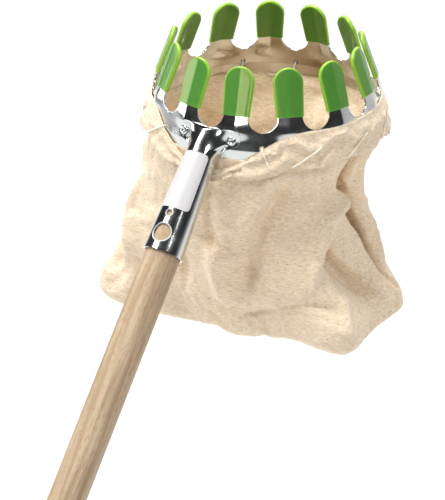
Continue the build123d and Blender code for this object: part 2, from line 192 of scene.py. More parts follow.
def add(material, kind, inputs=(), **settings):
    """Adds a node with its settings; an input takes a value or another node's output."""
    tree = material.node_tree
    node = tree.nodes.new("ShaderNode" + kind)
    for name, value in settings.items():
        setattr(node, name, value)
    for name, value in dict(inputs).items():
        if isinstance(value, bpy.types.NodeSocket):
            tree.links.new(value, node.inputs[name])
        else:
            node.inputs[name].default_value = value
    return node


def new_material(name, **sockets):
    """A principled material with values on its sockets, its shader and its coordinates."""
    material = bpy.data.materials.new(name)
    material.use_nodes = True
    shader = material.node_tree.nodes["Principled BSDF"]
    for socket, value in sockets.items():
        shader.inputs[socket.replace("_", " ")].default_value = value
    return material, shader, add(material, "TexCoord").outputs["Object"]


def per_metre(millimetres):
    """A texture scale that repeats about once in so many millimetres."""
    return 1 / (millimetres * MILLIMETRE)


def clouds(material, place, millimetres, detail):
    """A noise texture whose clouds are about so many millimetres apart."""
    inputs = {"Vector": place, "Scale": per_metre(millimetres), "Detail": detail}
    return add(material, "TexNoise", inputs).outputs[0]


def remap(material, value, low, high, to_low, to_high):
    """Maps a value's range from low to high onto another range."""
    inputs = {"Value": value, 1: low, 2: high, 3: to_low, 4: to_high}
    return add(material, "MapRange", inputs).outputs[0]


def reckon(material, operation, *values):
    """A calculation on values, each a number or another node's output."""
    return add(material, "Math", dict(enumerate(values)), operation=operation).outputs[0]


def mix(material, share, low, high):
    """A colour between two others, each a hex code or another node's output."""
    low, high = [colour(end) if isinstance(end, str) else end for end in (low, high)]
    return add(material, "Mix", {0: share, 6: low, 7: high}, data_type="RGBA").outputs[2]


def dress(material, shader, tint, height, strength, depth):
    """Links a colour and a bump, whose depth is in metres, to the shader and returns the material."""
    bump = add(material, "Bump", {"Height": height, "Strength": strength, "Distance": depth})
    material.node_tree.links.new(tint, shader.inputs["Base Color"])
    material.node_tree.links.new(bump.outputs[0], shader.inputs["Normal"])
    return material


def zinc_plate():
    """Bright zinc on cold-rolled sheet: a mirror with faint clouds, rolling waves and a fine grain, dull
    where a punch has left it raw."""
    material, shader, place = new_material("zinc_plated_steel", Metallic=1.0)
    cloud = clouds(material, place, 9, 4.0)
    wave = clouds(material, place, 14, 1.0)
    grit = clouds(material, place, 0.9, 3.0)
    dull = remap(material, cloud, 0.3, 0.7, 0.10, 0.19)
    raw = add(material, "Attribute", attribute_name="raw_edge").outputs["Fac"]
    rough = reckon(material, "MULTIPLY_ADD", raw, 0.55, dull)
    material.node_tree.links.new(rough, shader.inputs["Roughness"])
    shade = mix(material, cloud, "c6caca", "e2e5e2")
    high = reckon(material, "MULTIPLY_ADD", grit, 0.04, wave)
    return dress(material, shader, shade, high, 0.15, 0.0012)


def make_sector():
    """One tine with its share of the band: a grid laid out on the strip and bent to the crown's outside.
    The last row stops short of the tip, where the grid would end in a point."""
    bend = -BEND_DEPTH / math.cos(BAND_LEAN)
    foot = bend + BEND_DEPTH - BAND_DEPTH
    shoulder = TINE_LENGTH - TINE_HEAD
    foot_rows = 4
    band_rows = 10
    tine_rows = 8
    tip = 8.4
    rows = [between(foot, bend, k / foot_rows) for k in range(foot_rows)]
    rows += [bend - BEND_ROUND, bend, bend + BEND_ROUND]
    rows += [between(bend, 0, k / band_rows) for k in range(1, band_rows)]
    rows += [SCALLOP_RADIUS * (1 - math.cos(math.pi / 2 * k / band_rows)) for k in range(band_rows + 1)]
    rows += [between(SCALLOP_RADIUS, shoulder, k / tine_rows) for k in range(1, tine_rows)]
    rows += [shoulder + TINE_HEAD * math.sin(math.pi / 2 * k / tip) for k in range(tine_rows + 1)]
    bm = bmesh.new()
    bmesh.ops.create_grid(bm, x_segments=24, y_segments=len(rows) - 1, size=1)
    for vert in bm.verts:
        slant = rows[round((vert.co.y + 1) / 2 * (len(rows) - 1))]
        vert.co = crown_point(vert.co.x * half_width(slant), slant)
    return bm


def add_drill(punch, spot, aim, radius, depth, segments):
    """Adds to a punch in metres a round drill through a spot in millimetres."""
    bmesh.ops.create_cone(punch, cap_ends=True, segments=segments, radius1=radius * MILLIMETRE,
                          radius2=radius * MILLIMETRE, depth=depth * MILLIMETRE,
                          matrix=Matrix.Translation(spot * MILLIMETRE) @ aim)


def square_to_band(azimuth):
    """The turn that sets an upright form square to the leaning band at an azimuth."""
    return Matrix.Rotation(azimuth, 4, "Z") @ Matrix.Rotation(math.pi / 2 - BAND_LEAN, 4, "X")


def punch_out(piece, punch):
    """Cuts the shapes of a bmesh out of a piece and applies all of its modifiers."""
    cutter = new_object("punch", mesh_from("punch", punch))
    holes = piece.modifiers.new("holes", "BOOLEAN")
    holes.operation = "DIFFERENCE"
    holes.object = cutter
    settle(piece)
    bpy.data.objects.remove(cutter)
    smooth(piece.data)


def make_crown(material):
    """Thirteen sectors round the axis, open at the butt, with the sheet's thickness and the lacing holes."""
    bm = make_sector()
    turn = Matrix.Rotation(PITCH / 2, 4, "Z")
    bmesh.ops.transform(bm, matrix=turn, verts=bm.verts)
    bmesh.ops.spin(bm, geom=bm.verts[:] + bm.edges[:] + bm.faces[:], cent=(0, 0, 0), axis=(0, 0, 1),
                   angle=PITCH * (TINES - 1), steps=TINES - 1, use_duplicate=True)
    for vert in bm.verts:
        if abs(vert.co.x) < 0.001 and vert.co.y < 0:
            vert.co.x += math.copysign(BUTT_GAP / 2, vert.link_faces[0].calc_center_median().x)
    bmesh.ops.remove_doubles(bm, verts=bm.verts, dist=0.01)
    crown = new_piece("crown", bm, material, "head", "crown_band")
    give_sheet(crown, BAND_SHEET, CROWN_EDGE)
    punch = bmesh.new()
    for k in range(1, TINES):
        spot = cone_point(k * PITCH, -LACE_HOLE_DEPTH / math.cos(BAND_LEAN))
        add_drill(punch, spot, square_to_band(k * PITCH), LACE_HOLE_RADIUS, depth=8, segments=20)
    punch_out(crown, punch)


steel = zinc_plate()
make_crown(steel)

# Tine caps. Soft PVC caps, dip-moulded flat and pushed over the tines, with a rounded bead where the
# two faces meet. Thin glossy vinyl lets light through; the bead's glow is painted, a lighter and yellower
# colour than the faces.
CAP_WALL = 1.1
CAP_BASE = 10.3
CAP_BEAD = 1.3
CAP_GROOVE = 0.14
CAP_GROOVE_PLACE = 1.35
CAP_GROOVE_WIDTH = 0.5
# The bead's painted glow: its share of the lighter colour at the outline, and how far inside the outline it
# fades.
PAINTED_GLOW_SHARE = 0.65
PAINTED_GLOW_WIDTH = 0.9


def green_vinyl():
    """Plasticised PVC: an even waxy green with a soft gloss, and a painted glow that makes the thin bead
    lighter and yellower.
    """
    material, shader, place = new_material("soft_pvc", Roughness=0.2, IOR=1.53, Subsurface_Weight=0.6,
                                           Subsurface_Scale=0.006, Subsurface_Radius=(0.6, 1.0, 0.2),
                                           Specular_IOR_Level=0.6, Specular_Tint=(1.0, 0.87, 0.45, 1.0))
    # The bead attribute carries the share of painted glow, a lighter yellow-green that stands in for light
    # through the thin vinyl.
    bead = add(material, "Attribute", attribute_name="bead").outputs["Fac"]
    mottle = clouds(material, place, 5, 3.0)
    face = mix(material, mottle, "4f883a", "589240")
    # Painted glow: the faces are mixed towards a lighter yellow-green where the bead is.
    face_and_painted_glow = mix(material, bead, face, "a9d03c")
    ripple = clouds(material, place, 3, 2.0)
    return dress(material, shader, face_and_painted_glow, ripple, 0.1, 0.0006)


def cap_bead(inset):
    """Half thickness of the cap at a distance inside its outline, and the share of the bead's painted glow.
    """
    thick = BAND_SHEET / 2 + CAP_WALL
    curve = min(inset / CAP_BEAD, 1.0)
    dip = CAP_GROOVE * math.exp(-(((inset - CAP_GROOVE_PLACE * CAP_BEAD) / CAP_GROOVE_WIDTH) ** 2))
    # The painted glow, strongest at the outline and fading inward.
    tint = PAINTED_GLOW_SHARE * math.exp(-((inset / PAINTED_GLOW_WIDTH) ** 2))
    return thick * math.sqrt(max(1 - (1 - curve) ** 2, 0.0)) - dip, tint


def cap_face(bm, painted_glow_layer, side):
    """One face of a cap: a grid warped to the tine's outline, close-set at the rim, and bent to the tine."""
    outline = TINE_HEAD + CAP_WALL
    shoulder = TINE_LENGTH - TINE_HEAD
    head_start = 0.1
    cells = 28
    made = bmesh.ops.create_grid(bm, x_segments=cells, y_segments=cells, size=1)
    for vert in made["verts"]:
        u = math.sin(vert.co.x * math.pi / 2)
        if vert.co.y < head_start:
            v = (vert.co.y + 1) / (head_start + 1)
            wide = between(TINE_ROOT, TINE_HEAD, v) + CAP_WALL
            across = u * wide
            slant = between(CAP_BASE, shoulder, v)
            inset = (1 - abs(u)) * wide
        else:
            w = math.sin((vert.co.y - head_start) / (1 - head_start) * math.pi / 2)
            across = outline * u * math.sqrt(1 - w * w / 2)
            rise = outline * w * math.sqrt(1 - u * u / 2)
            slant = shoulder + rise
            inset = outline - math.hypot(across, rise)
        thick, bead = cap_bead(max(inset, 0.0))
        vert.co = crown_point(across, slant, side * thick - BAND_SHEET / 2)
        # Each vertex carries its share of the bead's painted glow.
        vert[painted_glow_layer] = bead
    if side < 0:
        bmesh.ops.reverse_faces(bm, faces=list({f for v in made["verts"] for f in v.link_faces}))


def make_cap(k, material):
    """Two faces joined along the bead, closed at the mouth and turned to the tine."""
    bm = bmesh.new()
    painted_glow_layer = bm.verts.layers.float.new("bead")
    cap_face(bm, painted_glow_layer, 1)
    cap_face(bm, painted_glow_layer, -1)
    bmesh.ops.remove_doubles(bm, verts=bm.verts, dist=0.02)
    bmesh.ops.holes_fill(bm, edges=[edge for edge in bm.edges if edge.is_boundary])
    bmesh.ops.recalc_face_normals(bm, faces=bm.faces)
    turn = Matrix.Rotation((k + 0.5) * PITCH, 3, "Z")
    bmesh.ops.rotate(bm, cent=(0, 0, 0), matrix=turn, verts=bm.verts)
    cap = new_piece(f"cap_{k + 1:02d}", bm, material, "head", f"tine_cap_{k + 1:02d}")


vinyl = green_vinyl()
for k in range(TINES):
    make_cap(k, vinyl)

# Socket bracket. One pressed and rolled sheet of the same zinc-plated steel: two ears wrapped on the
# ring, a trough that runs out at a slant and closes to a tapered socket with a nail hole and a sight hole.
SOCKET_SLOPE = math.radians(47.1)
SOCKET_SET_BACK = 8.46
SOCKET_START = Vector((0, SOCKET_SET_BACK - MOUTH_RADIUS, 0))
SOCKET_AXIS = Vector((0, -math.cos(SOCKET_SLOPE), -math.sin(SOCKET_SLOPE)))
SOCKET_FRONT = Vector((0, -math.sin(SOCKET_SLOPE), math.cos(SOCKET_SLOPE)))
SOCKET_SHEET = 1.2
SOCKET_LENGTH = 96.5
SOCKET_TAPER = math.radians(2.35)
SOCKET_GRIP = 81.9
SOCKET_GRIP_RADIUS = 13.15
SOCKET_EDGE = 0.25
EAR_FOOT = 14.6
EAR_MIDDLE = 18.3
FLANK_SHARE = 0.55


def socket_radius(along):
    """Outside radius of the tapered socket at a length along its axis."""
    return SOCKET_GRIP_RADIUS + (along - SOCKET_GRIP) * math.tan(SOCKET_TAPER)


def socket_point(along, angle, radius):
    """A point round the socket's axis; the angle is counted from its front towards +X."""
    round_it = SOCKET_FRONT * math.cos(angle) + Vector((math.sin(angle), 0, 0))
    return SOCKET_START + SOCKET_AXIS * along + round_it * radius


def on_socket(along, degrees):
    """A point on the outside of the socket."""
    return socket_point(along, math.radians(degrees), socket_radius(along))


def on_ear(across, height):
    """A point on the outside of an ear, pressed on the band and on the end of the tine's fold."""
    slant = height / math.cos(BAND_LEAN)
    out = MOUTH_RADIUS - slant * math.sin(BAND_LEAN)
    off_fold = (math.asin(across / (out + SOCKET_SHEET)) - PITCH / 2) * out
    return Matrix.Rotation(PITCH / 2, 3, "Z") @ crown_point(off_fold, slant, SOCKET_SHEET)


def trough_row(height, touch, ear_end):
    """A level row over the top of the bracket: crest, flank from the round to a foot on the band, ear."""
    row = []
    for degrees in (0, touch):
        lift = math.cos(SOCKET_SLOPE) * math.cos(math.radians(degrees))
        fall = math.sin(SOCKET_SLOPE) - lift * math.tan(SOCKET_TAPER)
        row.append(on_socket((lift * socket_radius(0) - height) / fall, degrees))
    foot = on_ear(EAR_FOOT, height)
    flank = row[1].lerp(foot, FLANK_SHARE)
    return row + [flank, foot, on_ear(EAR_MIDDLE, height), on_ear(ear_end, height)]


def smooth_curve(a, b, c, d, t):
    """A point on the smooth curve from b to c with a and d as their neighbours."""
    return b + (c - a + (a * 2 - b * 5 + c * 4 - d + (b * 3 - c * 3 + d - a) * t) * t) * (t / 2)


# Half of the pressing as rows from the ears down to the socket's mouth, each from the crest to the edge.
BRACKET_ROWS = [
    trough_row(0.4, 8, 22.3),
    trough_row(-3.0, 15, 23.6),
    trough_row(-6.5, 22, 23.8),
    trough_row(-9.6, 28, 22.4),
    [on_socket(27.0, 0), on_socket(25.6, 29), on_socket(23.0, 50), on_ear(13.2, -12.0), on_ear(15.0, -12.3),
     on_ear(18.0, -12.0)],
    [on_socket(31.0, 0), on_socket(29.8, 30), on_socket(27.2, 58), on_socket(23.6, 82), on_socket(22.2, 92),
     on_ear(12.6, -15.6)],
    [on_socket(36, 0), on_socket(35, 30), on_socket(33, 60), on_socket(30, 88), on_socket(27, 108),
     on_socket(25, 116)],
    [on_socket(42, 0), on_socket(41.5, 32), on_socket(40, 64), on_socket(38, 96), on_socket(35.5, 130),
     on_socket(34, 152)],
]
for along in (48, 56, 66, 76, 86, 92, SOCKET_LENGTH):
    BRACKET_ROWS.append([on_socket(along, degrees) for degrees in (0, 34, 68, 104, 140, 175)])
# Each hole's place along the socket and its radius.
NAIL_HOLE = (70.6, 2.5)
SIGHT_HOLE = (84.6, 6.5)
HOLE_LIP = 0.4


def cage_point(row, column):
    """A point of the bracket's rows; past the crest it is mirrored, past an end it is repeated."""
    points = BRACKET_ROWS[min(max(row, 0), len(BRACKET_ROWS) - 1)]
    if column < 0:
        return Vector((-points[-column].x, points[-column].y, points[-column].z))
    return points[min(column, len(points) - 1)]


def add_lip(bm, raw_layer, along, radius):
    """The dull lip that the punch leaves round a hole: a thin ring bent to the socket's round."""
    turn = Matrix.Translation((radius, 0, 0)) @ Matrix.Rotation(math.pi / 2, 4, "X")
    section = bmesh.ops.create_circle(bm, segments=8, radius=HOLE_LIP, matrix=turn)["verts"]
    edges = list({edge for vert in section for edge in vert.link_edges})
    before = set(bm.verts) - set(section)
    bmesh.ops.spin(bm, geom=section + edges, cent=(0, 0, 0), axis=(0, 0, 1), angle=math.tau, steps=40,
                   use_merge=True)
    for vert in set(bm.verts) - before:
        vert[raw_layer] = 1
        angle = math.asin(vert.co.x / socket_radius(along))
        level = along - vert.co.y
        vert.co = socket_point(level, angle, socket_radius(level) + vert.co.z) * MILLIMETRE


def make_bracket(material):
    """A flat grid pressed to the smooth surface through the rows, given its thickness and two holes."""
    bm = bmesh.new()
    bmesh.ops.create_grid(bm, x_segments=60, y_segments=84, size=1)
    below_one = 0.99999
    for vert in bm.verts:
        side = math.copysign(1, vert.co.x)
        across = min(abs(vert.co.x), below_one) * (len(BRACKET_ROWS[0]) - 1)
        down = min((1 - vert.co.y) / 2, below_one) * (len(BRACKET_ROWS) - 1)
        lines = []
        for row in range(-1, 3):
            near = [cage_point(int(down) + row, int(across) + column) for column in range(-1, 3)]
            lines.append(smooth_curve(*near, across % 1))
        vert.co = smooth_curve(*lines, down % 1)
        vert.co.x *= side
    bracket = new_piece("bracket", bm, material, "head", "socket_bracket")
    give_sheet(bracket, SOCKET_SHEET, SOCKET_EDGE)
    aim = Matrix.Rotation(SOCKET_SLOPE, 4, "X")
    punch = bmesh.new()
    for along, radius in (NAIL_HOLE, SIGHT_HOLE):
        add_drill(punch, on_socket(along, 0), aim, radius, depth=14, segments=40)
    punch_out(bracket, punch)
    bm = bmesh.new()
    bm.from_mesh(bracket.data)
    raw_layer = bm.verts.layers.float.new("raw_edge")
    for along, radius in (NAIL_HOLE, SIGHT_HOLE):
        add_lip(bm, raw_layer, along, radius)
    bm.to_mesh(bracket.data)
    bm.free()


make_bracket(steel)

# Rivets. Two short tubular steel rivets that clamp the ears to the ends of the strip. Each head is
# domed with a rolled dimple in the middle, and its tail is spread on the inside of the band.
RIVET_DEPTH = 6.2
RIVET_OFF_MIDDLE = 17.9
RIVET_AZIMUTH = math.asin(RIVET_OFF_MIDDLE / (MOUTH_RADIUS + RIVET_DEPTH * math.tan(BAND_LEAN)))
# The radius and the height of each corner from the head's dimple to the middle of the tail.
RIVET_PROFILE = [(0, 2.0), (0.9, 2.0), (1.5, 2.25), (1.9, 2.6), (2.3, 2.6), (2.8, 2.35), (3.15, 1.9),
                 (3.25, 1.2), (2.0, 1.2), (2.0, -1.1), (3.0, -1.1), (3.0, -1.7), (2.6, -2.0), (0, -2.0)]


def turn_profile(points, centre, axis, steps):
    """A bmesh turned about an axis from a line of points that starts and ends on it."""
    bm = bmesh.new()
    verts = [bm.verts.new(point) for point in points]
    edges = [bm.edges.new(pair) for pair in zip(verts, verts[1:])]
    bmesh.ops.spin(bm, geom=verts + edges, cent=centre, axis=axis, angle=math.tau, steps=steps,
                   use_merge=True)
    bmesh.ops.remove_doubles(bm, verts=bm.verts, dist=0.001)
    bmesh.ops.recalc_face_normals(bm, faces=bm.faces)
    return bm


def make_rivet(name, azimuth, material):
    """A rivet turned from its profile and set square to the leaning band."""
    points = [(radius, 0, height) for radius, height in RIVET_PROFILE]
    bm = turn_profile(points, (0, 0, 0), (0, 0, 1), 32)
    spot = cone_point(azimuth, -RIVET_DEPTH / math.cos(BAND_LEAN))
    place = Matrix.Translation(spot) @ square_to_band(azimuth)
    bmesh.ops.transform(bm, matrix=place, verts=bm.verts)
    rivet = new_piece(name + "_head", bm, material, "head", name)


make_rivet("rivet_left", -RIVET_AZIMUTH, steel)
make_rivet("rivet_right", RIVET_AZIMUTH, steel)

# Label. A blank white paper sticker with rounded corners, pressed round the front of the socket.
# Coated paper has a faint tooth and a soft sheen.
LABEL_TOP = 25.5
LABEL_LENGTH = 41.0
LABEL_HALF_ANGLE = math.radians(56)
LABEL_CORNER = 3.0
LABEL_LIFT = 0.16


def label_paper():
    """Coated paper: nearly white with a faint fibre cloud and a soft sheen."""
    material, shader, place = new_material("label_paper", Roughness=0.42, IOR=1.5)
    cloud = clouds(material, place, 1.2, 4.0)
    shade = mix(material, cloud, "c6c3c5", "d1cfd0")
    return dress(material, shader, shade, cloud, 0.15, 0.0001)


def make_label():
    """A rounded rectangle sliced along the socket so that it can wrap round it."""
    half_wide = LABEL_HALF_ANGLE * socket_radius(LABEL_TOP + LABEL_LENGTH / 2)
    bm = bmesh.new()
    bmesh.ops.create_grid(bm, x_segments=1, y_segments=1, size=1)
    bmesh.ops.scale(bm, vec=(half_wide, LABEL_LENGTH / 2, 1), verts=bm.verts)
    bmesh.ops.bevel(bm, geom=bm.verts[:], offset=LABEL_CORNER, affect="VERTICES", segments=6, profile=0.5,
                    material=-1)
    slices = 28
    for k in range(1, slices):
        cut = Vector((between(-half_wide, half_wide, k / slices), 0, 0))
        bmesh.ops.bisect_plane(bm, geom=bm.verts[:] + bm.edges[:] + bm.faces[:], plane_co=cut,
                               plane_no=(1, 0, 0))
    for vert in bm.verts:
        along = LABEL_TOP + LABEL_LENGTH / 2 - vert.co.y
        angle = vert.co.x / half_wide * LABEL_HALF_ANGLE
        vert.co = socket_point(along, angle, socket_radius(along) + LABEL_LIFT)
    label = new_piece("label", bm, label_paper(), "head", "socket_label")


make_label()

# Pole. A turned beech pole whose tapered tip is wedged into the socket. Planed beech is pale and
# straight-grained, with short dark ray flecks along the grain.
POLE_RADIUS = 12.0
POLE_TIP = 38.0
POLE_LENGTH = 600.0
POLE_EDGE = 2.0
POLE_GAP = 1.25
POLE_BARE = 4.0
# The radius of each corner and its place along the socket's axis.
POLE_PROFILE = [(0, POLE_TIP), (socket_radius(POLE_TIP) - POLE_GAP - POLE_EDGE, POLE_TIP),
                (socket_radius(POLE_TIP + POLE_EDGE) - POLE_GAP, POLE_TIP + POLE_EDGE),
                (socket_radius(SOCKET_GRIP) - POLE_GAP, SOCKET_GRIP),
                (POLE_RADIUS, SOCKET_LENGTH + POLE_BARE),
                (POLE_RADIUS, POLE_TIP + POLE_LENGTH - POLE_EDGE),
                (POLE_RADIUS - POLE_EDGE, POLE_TIP + POLE_LENGTH), (0, POLE_TIP + POLE_LENGTH)]


def stretch(material, place, scale):
    """Coordinates scaled along each axis."""
    return add(material, "Mapping", {"Vector": place, "Scale": scale}).outputs[0]


def beech():
    """Planed beech: growth streaks along the grain and short brown flecks, dry and matt."""
    material, shader, place = new_material("beech", Roughness=0.62, IOR=1.5)
    upright = (math.pi / 2 - SOCKET_SLOPE, 0, 0)
    lay = add(material, "Mapping", {"Vector": place, "Rotation": upright}).outputs[0]
    long_grain = stretch(material, lay, (1, 1, 0.05))
    short_grain = stretch(material, lay, (1, 1, 0.16))
    streak = clouds(material, long_grain, 3.2, 6.0)
    broad = clouds(material, long_grain, 11, 2.0)
    fleck = clouds(material, short_grain, 0.75, 2.0)
    marks = remap(material, fleck, 0.55, 0.68, 0.0, 0.6)
    tone = remap(material, streak, 0.38, 0.62, 0.0, 1.0)
    grain = mix(material, tone, "94795a", "cbb69b")
    band = mix(material, broad, grain, "b49d7e")
    wood = mix(material, marks, band, "96704c")
    return dress(material, shader, wood, fleck, 0.25, 0.0003)


def make_pole():
    """The pole turned from its profile about the socket's axis."""
    points = [socket_point(along, 0, radius) for radius, along in POLE_PROFILE]
    bm = turn_profile(points, SOCKET_START, SOCKET_AXIS, 72)
    pole = new_piece("beech_pole", bm, beech(), "pole", "pole")


make_pole()

# Hem. The top edge of the calico bag, turned over twice and laid round the outside of the band. It
# dips under the socket, flares a little below the lacing, and is drawn in at every stitch.
HEM_TOP = 0.2
HEM_FOOT = 24.0
HEM_DIP = 29.0
HEM_DIP_HALF = math.radians(52)
HEM_DIP_POWER = 1.3
HEM_FOOT_SHARE = 0.42
HEM_CLEAR = 0.5
HEM_THICK = 1.3
HEM_FLARE = 3.0
FLARE_POWER = 2.2
FLARE_DRAWN_IN = 0.7
HEM_ROLL = 0.8
ROLL_TURNS = 1.7
HEM_EDGE = 0.4
HEM_STIFFNESS = 3.0
HEM_HELD_TOP = 5.0
SLACK_WAVES = 4
SLACK_SEED = 0.7
TOP_SLACK = 0.5
FOOT_SLACK = 1.6
STITCH_LIFT = 2.0
STITCH_WIDTH = 1.6
LACE_DEPTH = 22.0
CLOTH_GROWTH = 0.045
CLOTH_GIVE = 0.2
DRAPE_FRAMES = 20


def calico():
    """Unbleached plain-weave cotton: cream threads, brown seed flecks, a matt fuzz. Threads are drawn
    twice as coarse as the real 0.45 mm so that they show."""
    material, shader, place = new_material("calico", Roughness=0.9, IOR=1.4, Sheen_Weight=0.15,
                                           Sheen_Roughness=0.5, Subsurface_Weight=0.25,
                                           Subsurface_Scale=0.0015, Subsurface_Radius=(1.0, 0.92, 0.8))
    across = clouds(material, stretch(material, place, (0.25, 0.25, 1)), 0.8, 3.0)
    down = clouds(material, stretch(material, place, (1, 1, 0.25)), 0.9, 2.0)
    seed = add(material, "TexVoronoi", {"Vector": place, "Scale": per_metre(3.2), "Randomness": 1.0})
    husk = remap(material, seed.outputs["Distance"], 0.06, 0.16, 0.75, 0.0)
    pick = remap(material, seed.outputs["Color"], 0.4, 0.45, 0.0, 1.0)
    spot = reckon(material, "MULTIPLY", husk, pick)
    tone = remap(material, across, 0.3, 0.7, 0.0, 1.0)
    thread = mix(material, tone, "dac2a2", "f4e4cc")
    cloth = mix(material, spot, thread, "5a3c24")
    weave = reckon(material, "ADD", across, down)
    return dress(material, shader, cloth, weave, 0.5, 0.0004)


def hem_drop(azimuth):
    """How far the hem's top drops at an azimuth: deepest under the socket."""
    turn = abs((azimuth + math.pi) % math.tau - math.pi)
    return HEM_DIP * (0.5 + 0.5 * math.cos(math.pi * min(turn / HEM_DIP_HALF, 1.0))) ** HEM_DIP_POWER


def skin_radius(depth):
    """Radius of the band's outside at a depth below the mouth."""
    return MOUTH_RADIUS + min(depth, BEND_DEPTH) * math.tan(BAND_LEAN)


def hem_point(azimuth, share):
    """A point on the outside of the hem, a share of the way down its strip."""
    drop = hem_drop(azimuth)
    stitch = (0.5 - 0.5 * math.cos(azimuth * TINES)) ** 2
    waves = Vector((SLACK_WAVES * math.sin(azimuth), SLACK_WAVES * math.cos(azimuth), SLACK_SEED))
    slack = noise.noise(waves)
    foot = HEM_FOOT + HEM_FOOT_SHARE * drop + FOOT_SLACK * slack - STITCH_LIFT * stitch
    depth = between(HEM_TOP + drop + TOP_SLACK * slack, foot, share)
    flare = HEM_FLARE * share**FLARE_POWER * (1 - FLARE_DRAWN_IN * stitch) * (1 + slack / 2)
    roll = HEM_ROLL * (1 - math.cos(math.tau * (ROLL_TURNS * share + slack / 2))) * min(share * 5, 1.0)
    radius = skin_radius(depth) + HEM_CLEAR + HEM_THICK + flare + roll
    return ring_point(azimuth, radius, depth)


def hem_weight(point):
    """How firmly the hem is held: hard along its top and at the stitches, softly elsewhere."""
    azimuth = math.atan2(point.x, -point.y)
    up = (LACE_DEPTH + point.z) / (LACE_DEPTH - LACE_HOLE_DEPTH)
    off = ((azimuth / PITCH - 0.5 - up / 2 + 0.5) % 1 - 0.5) * PITCH * BAND_RADIUS
    stitch = math.exp(-((off / STITCH_WIDTH) ** 2)) * ease(2 - abs(up - 0.5) * 2)
    top = ease(1 - (-point.z - HEM_TOP - hem_drop(azimuth)) / HEM_HELD_TOP)
    return min(max(CLOTH_GIVE, top, stitch), 1.0)


def drape(piece, stiffness, weight):
    """Lets cloth that is cut a little too large crumple; a weight of 1 holds a point, less lets it give."""
    held = piece.vertex_groups.new(name="held")
    for vert in piece.data.vertices:
        held.add([vert.index], weight(vert.co / MILLIMETRE), "REPLACE")
    cloth = piece.modifiers.new("drape", "CLOTH")
    cloth.settings.vertex_group_mass = "held"
    cloth.settings.pin_stiffness = 1.0
    cloth.settings.quality = 6
    cloth.settings.mass = 0.2
    cloth.settings.tension_stiffness = 20
    cloth.settings.compression_stiffness = 20
    cloth.settings.shear_stiffness = 8
    cloth.settings.bending_stiffness = stiffness
    cloth.settings.tension_damping = 15
    cloth.settings.compression_damping = 15
    cloth.settings.air_damping = 3
    cloth.settings.shrink_min = -CLOTH_GROWTH
    cloth.settings.effector_weights.gravity = 0.1
    cloth.collision_settings.use_collision = False
    cloth.point_cache.frame_end = DRAPE_FRAMES
    for number in range(1, DRAPE_FRAMES + 1):
        bpy.context.scene.frame_set(number)
    settle(piece)
    bpy.context.scene.frame_set(1)


def refine(piece):
    """Applies one level of subdivision after a piece's other modifiers."""
    fine = piece.modifiers.new("fine", "SUBSURF")
    fine.levels = 1
    fine.render_levels = 1
    settle(piece)


def make_hem(material):
    """A flat strip of cloth bent round the band, draped and doubled. It starts as a grid, because a spin
    lists its edges in another order every run, and so drapes differently."""
    bm = bmesh.new()
    bmesh.ops.create_grid(bm, x_segments=312, y_segments=11, size=1)
    for vert in bm.verts:
        vert.co = hem_point(vert.co.x * math.pi, (1 - vert.co.y) / 2)
    bmesh.ops.remove_doubles(bm, verts=bm.verts, dist=0.01)
    hem = new_piece("hem", bm, material, "head", "bag_hem")
    drape(hem, HEM_STIFFNESS, hem_weight)
    for vert in hem.data.vertices:
        out = Vector((vert.co.x, vert.co.y, 0))
        least = (skin_radius(-vert.co.z / MILLIMETRE) + HEM_CLEAR + HEM_THICK) * MILLIMETRE
        vert.co += out.normalized() * max(least - out.length, 0)
    give_sheet(hem, HEM_THICK, HEM_EDGE)
    refine(hem)
    hem.data.shade_smooth()
    return hem


cotton = calico()
hem = make_hem(cotton)

# Bag. A sewn calico pouch that hangs from the hem, boxed at the base, where it sags. It is slack cloth:
# long folds fall from the lacing, the corners stand out, and the right-hand seam is tucked in.
# Each section gives a depth, the reach to the left, right, front and back, and how square it is.
BAG_SECTIONS = [
    (19, 81.5, 81.5, 81.5, 81.5, 2.0),
    (27, 80.5, 79.0, 80.5, 79.5, 2.0),
    (48, 83.0, 72.0, 82.0, 72.0, 2.0),
    (76, 84.0, 69.0, 81.0, 65.0, 2.2),
    (100, 89.0, 75.0, 75.0, 55.0, 3.0),
    (126, 94.0, 85.0, 69.0, 47.0, 4.5),
    (151, 96.0, 97.0, 63.0, 41.0, 6.0),
]
BAG_TOP = BAG_SECTIONS[0][0]
BAG_EDGE = BAG_SECTIONS[-1][0]
BAG_TURN_IN = 20.0
BAG_SAG = 11.0
BAG_FLOOR_SAG = 3.0
BAG_CLOTH = 0.7
BAG_STIFFNESS = 0.3
BAG_HELD = 21.0
BAG_HELD_FADE = 8.0
CORNER_WIDTH = 10.0
DROP_START = 80
DROP_FADE_IN = 70
FLOOR_FLATTENS = 0.6
# Fine pleats fade away below the lacing; a broad crumple takes over further down. Both are noise, whose
# waves are counted per radius round the bag and per millimetre down it.
PLEAT_HEIGHT = 2.6
PLEAT_WAVES = 11
PLEAT_WAVES_DOWN = 0.008
PLEAT_START = 20
PLEAT_FADE_IN = 12
PLEAT_FADE = 55
CRUMPLE_HEIGHT = 2.5
CRUMPLE_WAVES = 2.6
CRUMPLE_WAVES_DOWN = 0.028
CRUMPLE_START = 30
CRUMPLE_FADE_IN = 40
# Azimuth in degrees of a corner, how far the cloth stands out there, and the depth where that starts.
BAG_CORNERS = [(-57, 11, 84), (58.5, 11, 96), (115, 2, 100), (-115, 8, 100)]
# Azimuth in degrees where the bottom edge hangs lower or is lifted, by how much, and over what half angle.
BAG_DROPS = [(-30, 2.0, 26), (10, 3.0, 14), (48, -8.0, 15), (150, 3.0, 40)]
